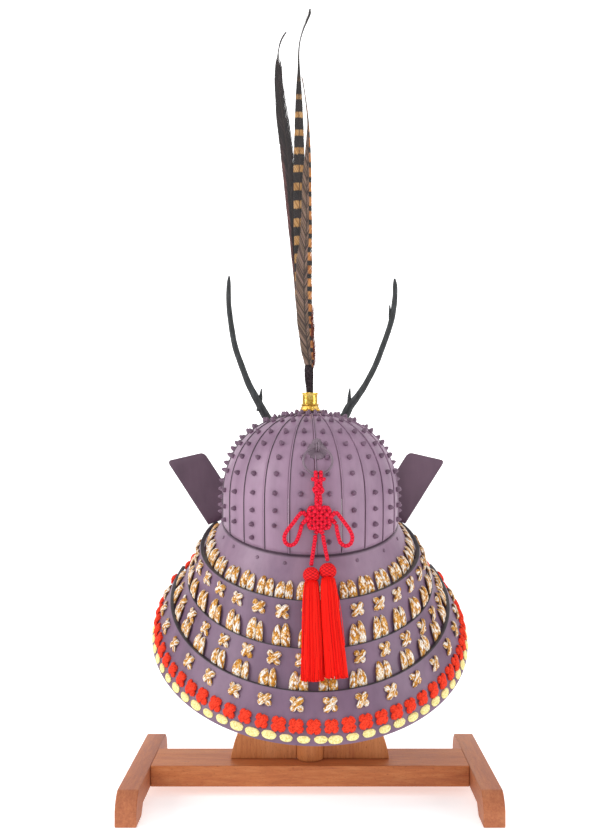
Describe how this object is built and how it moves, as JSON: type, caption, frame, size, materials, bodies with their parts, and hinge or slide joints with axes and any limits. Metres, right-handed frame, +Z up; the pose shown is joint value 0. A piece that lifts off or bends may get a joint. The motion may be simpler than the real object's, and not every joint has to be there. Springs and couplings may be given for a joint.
{
  "type": "samurai helmet on a wooden stand",
  "caption": "Riveted domed helmet with a flared laced neck guard, side wings, antlers, a tall feather plume and a tasselled bow, on an H-shaped wooden stand.",
  "frame": {"origin": "on the floor, at the middle of the base of the whole object's box", "axes": "+Z up along the plume; -Y is the way the helmet faces, +Y its back with the bow and tassels; +X the wearer's left"},
  "size_m": [0.4718, 0.3782, 1.046],
  "materials": {
    "lacquered_iron": "matte lacquer",
    "dark_lacquer": "smooth matte leather",
    "gilt": "gilt",
    "dark_feather": "feather",
    "barred_feather": "feather",
    "antler": "matte black",
    "red_silk": "braided silk",
    "lacing": "braided cord",
    "wood": "oiled"
  },
  "bodies": {
    "root": {"bowl_plate_01": "lacquered_iron", "bowl_plate_02": "lacquered_iron", "bowl_plate_03": "lacquered_iron", "bowl_plate_04": "lacquered_iron", "bowl_plate_05": "lacquered_iron", "bowl_plate_06": "lacquered_iron", "bowl_plate_07": "lacquered_iron", "bowl_plate_08": "lacquered_iron", "bowl_plate_09": "lacquered_iron", "bowl_plate_10": "lacquered_iron", "bowl_plate_11": "lacquered_iron", "bowl_plate_12": "lacquered_iron", "bowl_plate_13": "lacquered_iron", "bowl_plate_14": "lacquered_iron", "bowl_plate_15": "lacquered_iron", "bowl_plate_16": "lacquered_iron", "bowl_plate_17": "lacquered_iron", "bowl_plate_18": "lacquered_iron", "bowl_plate_19": "lacquered_iron", "bowl_plate_20": "lacquered_iron", "bowl_plate_21": "lacquered_iron", "bowl_plate_22": "lacquered_iron", "crown_ring": "lacquered_iron", "flange": "lacquered_iron", "neck_lame_1": "lacquered_iron", "neck_lame_2": "lacquered_iron", "neck_lame_3": "lacquered_iron", "visor": "lacquered_iron", "cord_ring": "lacquered_iron", "ring_staple": "lacquered_iron", "turned_wing_left": "dark_lacquer", "turned_wing_right": "dark_lacquer", "socket_base": "gilt", "plume_socket": "gilt", "antler_bracket": "gilt", "feather_stem": "dark_feather", "feather_dark": "dark_feather", "feather_barred": "barred_feather", "feather_brown": "barred_feather", "antler_left": "antler", "antler_right": "antler", "bow_hanger": "red_silk", "bow_knot": "red_silk", "bow_loop_left": "red_silk", "bow_loop_right": "red_silk", "tassel_cord_left": "red_silk", "tassel_cord_right": "red_silk", "tassel_left": "red_silk", "tassel_right": "red_silk", "stand_foot_left": "wood", "stand_foot_right": "wood", "stand_beam": "wood", "stand_post": "wood", "stand_brace_left": "wood", "stand_brace_right": "wood", "stand_head_block": "wood"}
  },
  "joints": []
}
